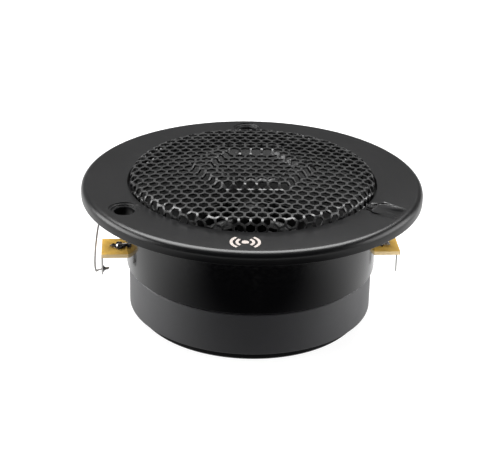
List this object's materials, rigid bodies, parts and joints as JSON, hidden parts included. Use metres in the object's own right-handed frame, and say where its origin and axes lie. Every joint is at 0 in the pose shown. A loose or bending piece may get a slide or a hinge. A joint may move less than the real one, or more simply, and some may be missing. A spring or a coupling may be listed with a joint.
{
  "type": "car tweeter",
  "caption": "Flush-mount dome tweeter: round screw-on flange with a perforated steel grille, short horn, moulded collar, ferrite ring magnet and two side terminal boards with blade tabs.",
  "frame": {"origin": "centre of the flange's underside, where it meets the panel, on the axis of the three panel screw holes", "axes": "+Z out of the grille towards the listener; +X towards the right terminal with the printed sign at the front (-Y)"},
  "size_m": [0.1, 0.1, 0.0456],
  "materials": {
    "flange_black": "satin black moulding, very fine spark texture",
    "collar_gloss": "polished black moulding",
    "grille_enamel": "black baked enamel, semi-gloss",
    "print_white": "off-white printed ink",
    "horn_black": "matt black moulding",
    "carrier_grey": "matt moulded plastic",
    "coated_cloth": "rubber-coated cloth",
    "dome_silk": "doped silk",
    "former_foil": "rolled foil",
    "winding_copper": "enamelled copper wire",
    "tag_brass": "stamped brass",
    "plate_zinc": "zinc-plated turned steel",
    "ferrite_dark": "ground ferrite, dark grey, faintly mottled",
    "yoke_black": "black passivated turned steel",
    "cap_copper": "bright copper sheet",
    "felt_grey": "pressed wool felt",
    "screw_zinc": "zinc-plated steel",
    "board_fibre": "phenolic paper board, golden brown",
    "blade_tin": "tinned brass strip",
    "eyelet_dark": "darkened tinned brass",
    "solder_bright": "bright solder",
    "wire_tinned": "tinned copper wire",
    "capacitor_sleeve": "dark blue shrink sleeve",
    "adhesive_amber": "amber rubber adhesive"
  },
  "bodies": {
    "housing": {"blade_pin_left": "tag_brass", "blade_solder_left": "solder_bright", "blade_tab_left": "blade_tin", "blade_tab_right": "blade_tin", "board_rivets": "tag_brass", "capacitor_adhesive": "adhesive_amber", "capacitor_lead_front": "wire_tinned", "capacitor_lead_rear": "wire_tinned", "carrier_tag_left": "tag_brass", "carrier_tag_right": "tag_brass", "coil_lead_left": "winding_copper", "coil_lead_right": "winding_copper", "collar": "collar_gloss", "collar_screws": "screw_zinc", "copper_cap": "cap_copper", "damping_felt": "felt_grey", "diaphragm_carrier": "carrier_grey", "eyelet_left": "eyelet_dark", "eyelet_right": "eyelet_dark", "eyelet_solder_left": "solder_bright", "eyelet_solder_right": "solder_bright", "ferrite_magnet": "ferrite_dark", "flange_print": "print_white", "front_flange": "flange_black", "grille": "grille_enamel", "lead_wire_left": "wire_tinned", "lead_wire_right": "wire_tinned", "phase_plug": "horn_black", "series_capacitor": "capacitor_sleeve", "surround": "coated_cloth", "terminal_board_left": "board_fibre", "terminal_board_right": "board_fibre", "top_plate": "plate_zinc", "waveguide": "horn_black", "waveguide_screws": "screw_zinc", "yoke": "yoke_black"},
    "diaphragm": {"dome_diaphragm": "dome_silk", "voice_coil_former": "former_foil", "voice_coil_winding": "winding_copper"}
  },
  "joints": [
    {"name": "diaphragm_travel", "type": "slide", "parent": "housing", "child": "diaphragm", "axis": [0, 0, 1], "range_m": [-0.0004, 0.0004], "stiffness_N_per_m": 5000, "deforming": ["surround", "coil_lead_left", "coil_lead_right"]}
  ]
}
